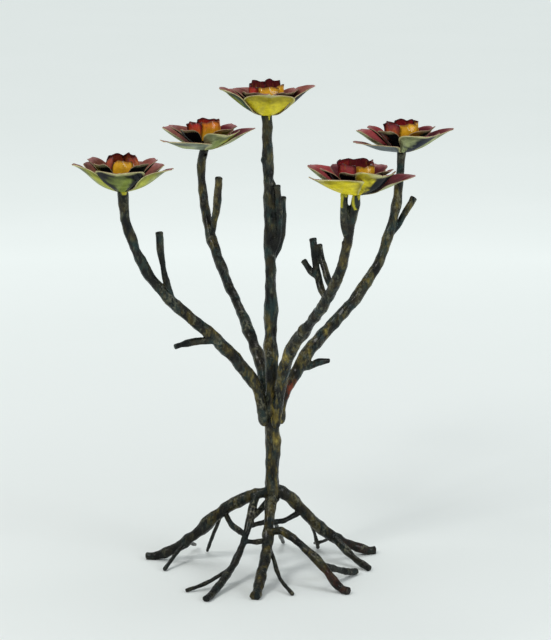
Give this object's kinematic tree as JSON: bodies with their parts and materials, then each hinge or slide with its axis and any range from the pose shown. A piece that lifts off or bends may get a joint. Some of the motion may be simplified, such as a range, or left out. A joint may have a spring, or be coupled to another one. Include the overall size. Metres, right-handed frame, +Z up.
{
  "type": "tree candle holder",
  "caption": "Iron tree candle holder: bark-textured trunk on spreading roots, branches that end in painted sheet metal lotus flowers with candle cups.",
  "frame": {"origin": "on the floor, under the middle of the whole tree's plan outline", "axes": "+Z up along the trunk, +Y to the back, away from a viewer of the front, +X to the right as seen from the front"},
  "size_m": [0.4771, 0.4892, 0.6295],
  "materials": {
    "forged_iron": "near-black brown lacquer with green-black and ochre rubbing, half gloss, hammered and lumpy like bark",
    "outer_petal_paint": "glossy hand-painted enamel: pale green to strong yellow outside, mauve to maroon inside",
    "middle_petal_paint": "glossy hand-painted enamel: green-black outside with a thin cream edge, mauve-red inside",
    "cup_paint": "glossy hand-painted enamel: orange-yellow low, red to magenta high, dark rims",
    "rivet_steel": "plain steel rivet head, slightly dull"
  },
  "bodies": {
    "root": {"trunk": "forged_iron", "branch_left": "forged_iron", "branch_rear": "forged_iron", "branch_front": "forged_iron", "branch_right": "forged_iron", "root_left": "forged_iron", "root_right": "forged_iron", "root_front": "forged_iron", "root_front_left": "forged_iron", "root_front_right": "forged_iron", "rootlet_left_front": "forged_iron", "rootlet_left_stub": "forged_iron", "rootlet_left_inner": "forged_iron", "rootlet_front_left": "forged_iron", "rootlet_front": "forged_iron", "rootlet_front_right": "forged_iron", "rootlet_right_front": "forged_iron", "rootlet_right_stub": "forged_iron", "rootlet_right_inner": "forged_iron", "rootlet_rear": "forged_iron", "root_link_left": "forged_iron", "root_link_front": "forged_iron", "root_link_rear": "forged_iron", "root_brace": "forged_iron", "twig_left_tall": "forged_iron", "twig_left_low": "forged_iron", "twig_rear": "forged_iron", "twig_trunk_long": "forged_iron", "twig_trunk_short": "forged_iron", "twig_front_tall": "forged_iron", "twig_front_low": "forged_iron", "twig_front_inner": "forged_iron", "twig_front_prop": "forged_iron", "twig_right_tall": "forged_iron", "twig_right_low": "forged_iron", "flower_left_outer_petals": "outer_petal_paint", "flower_left_middle_petals": "middle_petal_paint", "flower_left_candle_cup": "cup_paint", "flower_left_rivet": "rivet_steel", "flower_rear_outer_petals": "outer_petal_paint", "flower_rear_middle_petals": "middle_petal_paint", "flower_rear_candle_cup": "cup_paint", "flower_rear_rivet": "rivet_steel", "flower_top_outer_petals": "outer_petal_paint", "flower_top_middle_petals": "middle_petal_paint", "flower_top_candle_cup": "cup_paint", "flower_top_rivet": "rivet_steel", "flower_front_outer_petals": "outer_petal_paint", "flower_front_middle_petals": "middle_petal_paint", "flower_front_candle_cup": "cup_paint", "flower_front_rivet": "rivet_steel", "flower_right_outer_petals": "outer_petal_paint", "flower_right_middle_petals": "middle_petal_paint", "flower_right_candle_cup": "cup_paint", "flower_right_rivet": "rivet_steel"}
  },
  "joints": []
}
